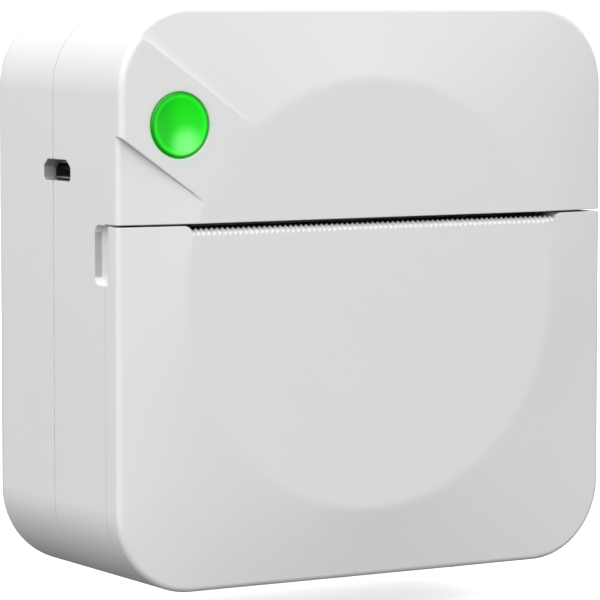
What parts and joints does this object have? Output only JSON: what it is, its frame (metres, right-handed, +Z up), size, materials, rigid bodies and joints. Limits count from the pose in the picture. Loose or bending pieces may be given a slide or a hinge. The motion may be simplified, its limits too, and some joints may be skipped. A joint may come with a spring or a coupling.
{
  "type": "thermal label printer",
  "caption": "Pocket thermal printer: rounded square white case, lit power button, hinged front door over the paper roll, toothed tear slot and side charging socket.",
  "frame": {"origin": "centre of the bottom face's bounding box, on the surface the printer stands on", "axes": "+X to the right seen from the front, -Y out of the front face with the button and slot, +Z up"},
  "size_m": [0.0794, 0.0396, 0.08],
  "materials": {
    "white_case": "fine satin moulded white",
    "green_lens": "clear green, glossy, lit from behind",
    "black_plastic": "matt black",
    "white_connector": "cream nylon",
    "dark_connector": "dark nylon",
    "led": "clear, lit green",
    "circuit_board": "green solder mask",
    "steel": "plain turned steel",
    "rubber": "ground black rubber",
    "acetal": "natural acetal",
    "brass": "turned brass",
    "zinc_steel": "zinc-plated sheet",
    "aluminium": "extruded, plain",
    "ceramic": "fired ceramic with a dark glaze line",
    "flex_cable": "amber polyimide film",
    "bin_plastic": "grey moulded",
    "paper": "smooth thermal paper",
    "core_board": "grey-brown board",
    "plated_shell": "nickel-plated pressed sheet",
    "capacitor_can": "plain can",
    "pouch": "silver laminated foil",
    "foam": "black foam tape",
    "lead_red": "soft insulation",
    "lead_grey": "soft insulation"
  },
  "bodies": {
    "case": {"front_shell": "white_case", "rear_cover": "white_case", "tact_switch": "black_plastic", "slot_guide": "black_plastic", "paper_sensor": "black_plastic", "controller_chip": "black_plastic", "motor_connector": "white_connector", "battery_connector": "white_connector", "head_connector": "dark_connector", "status_led": "led", "main_board": "circuit_board", "button_board": "circuit_board", "hinge_pins": "steel", "button_board_screws": "steel", "idler_axle": "steel", "motor_screws": "steel", "frame_screws": "steel", "bin_screws": "steel", "board_screws": "steel", "case_screws": "steel", "head_springs": "steel", "board_standoffs": "brass", "motor_body": "zinc_steel", "motor_flange": "zinc_steel", "head_frame": "zinc_steel", "head_ribbon": "flex_cable", "paper_bin": "bin_plastic", "usb_socket": "plated_shell", "radio_module": "plated_shell", "capacitors": "capacitor_can", "battery": "pouch", "battery_pad": "foam", "battery_leads": "lead_red", "motor_leads": "lead_grey"},
    "door": {"front_door": "white_case", "platen_bushes": "acetal"},
    "platen": {"platen_roller": "rubber", "platen_shaft": "steel", "platen_gear": "acetal"},
    "button": {"power_button": "green_lens", "switch_plunger": "black_plastic"},
    "idler": {"idler_gear": "acetal"},
    "motor_rotor": {"motor_shaft": "steel", "motor_pinion": "brass"},
    "print_head": {"heat_sink": "aluminium", "head_ceramic": "ceramic"},
    "roll": {"paper_roll": "paper", "roll_core": "core_board"}
  },
  "joints": [
    {"name": "door_hinge", "type": "hinge", "parent": "case", "child": "door", "pos_m": [0, -0.0125, 0.0022], "axis": [1, 0, 0], "range_deg": [0, 90]},
    {"name": "power_button_press", "type": "slide", "parent": "case", "child": "button", "axis": [0, 1, 0], "range_m": [0, 0.0006], "stiffness_N_per_m": 400, "springref_m": -0.001},
    {"name": "platen_spin", "type": "hinge", "parent": "door", "child": "platen", "pos_m": [0, -0.0112, 0.045], "axis": [1, 0, 0], "continuous": true},
    {"name": "idler_spin", "type": "hinge", "parent": "case", "child": "idler", "pos_m": [0.035, -0.00304, 0.0488], "axis": [1, 0, 0], "continuous": true},
    {"name": "motor_spin", "type": "hinge", "parent": "case", "child": "motor_rotor", "pos_m": [0.035, -0.00304, 0.0608], "axis": [1, 0, 0], "continuous": true},
    {"name": "print_head_pivot", "type": "hinge", "parent": "case", "child": "print_head", "pos_m": [0, -0.0044, 0.04], "axis": [1, 0, 0], "range_deg": [-1.5, 0], "stiffness_Nm_per_rad": 0.3, "springref_deg": 2.86, "deforming": ["head_springs"]},
    {"name": "paper_roll_spin", "type": "hinge", "parent": "case", "child": "roll", "pos_m": [0, -0.0009, 0.0196], "axis": [1, 0, 0], "continuous": true}
  ],
  "couplings": [
    {"joint": "idler_spin", "follows": "platen_spin", "ratio": -1.25},
    {"joint": "motor_spin", "follows": "platen_spin", "ratio": 3.75}
  ]
}
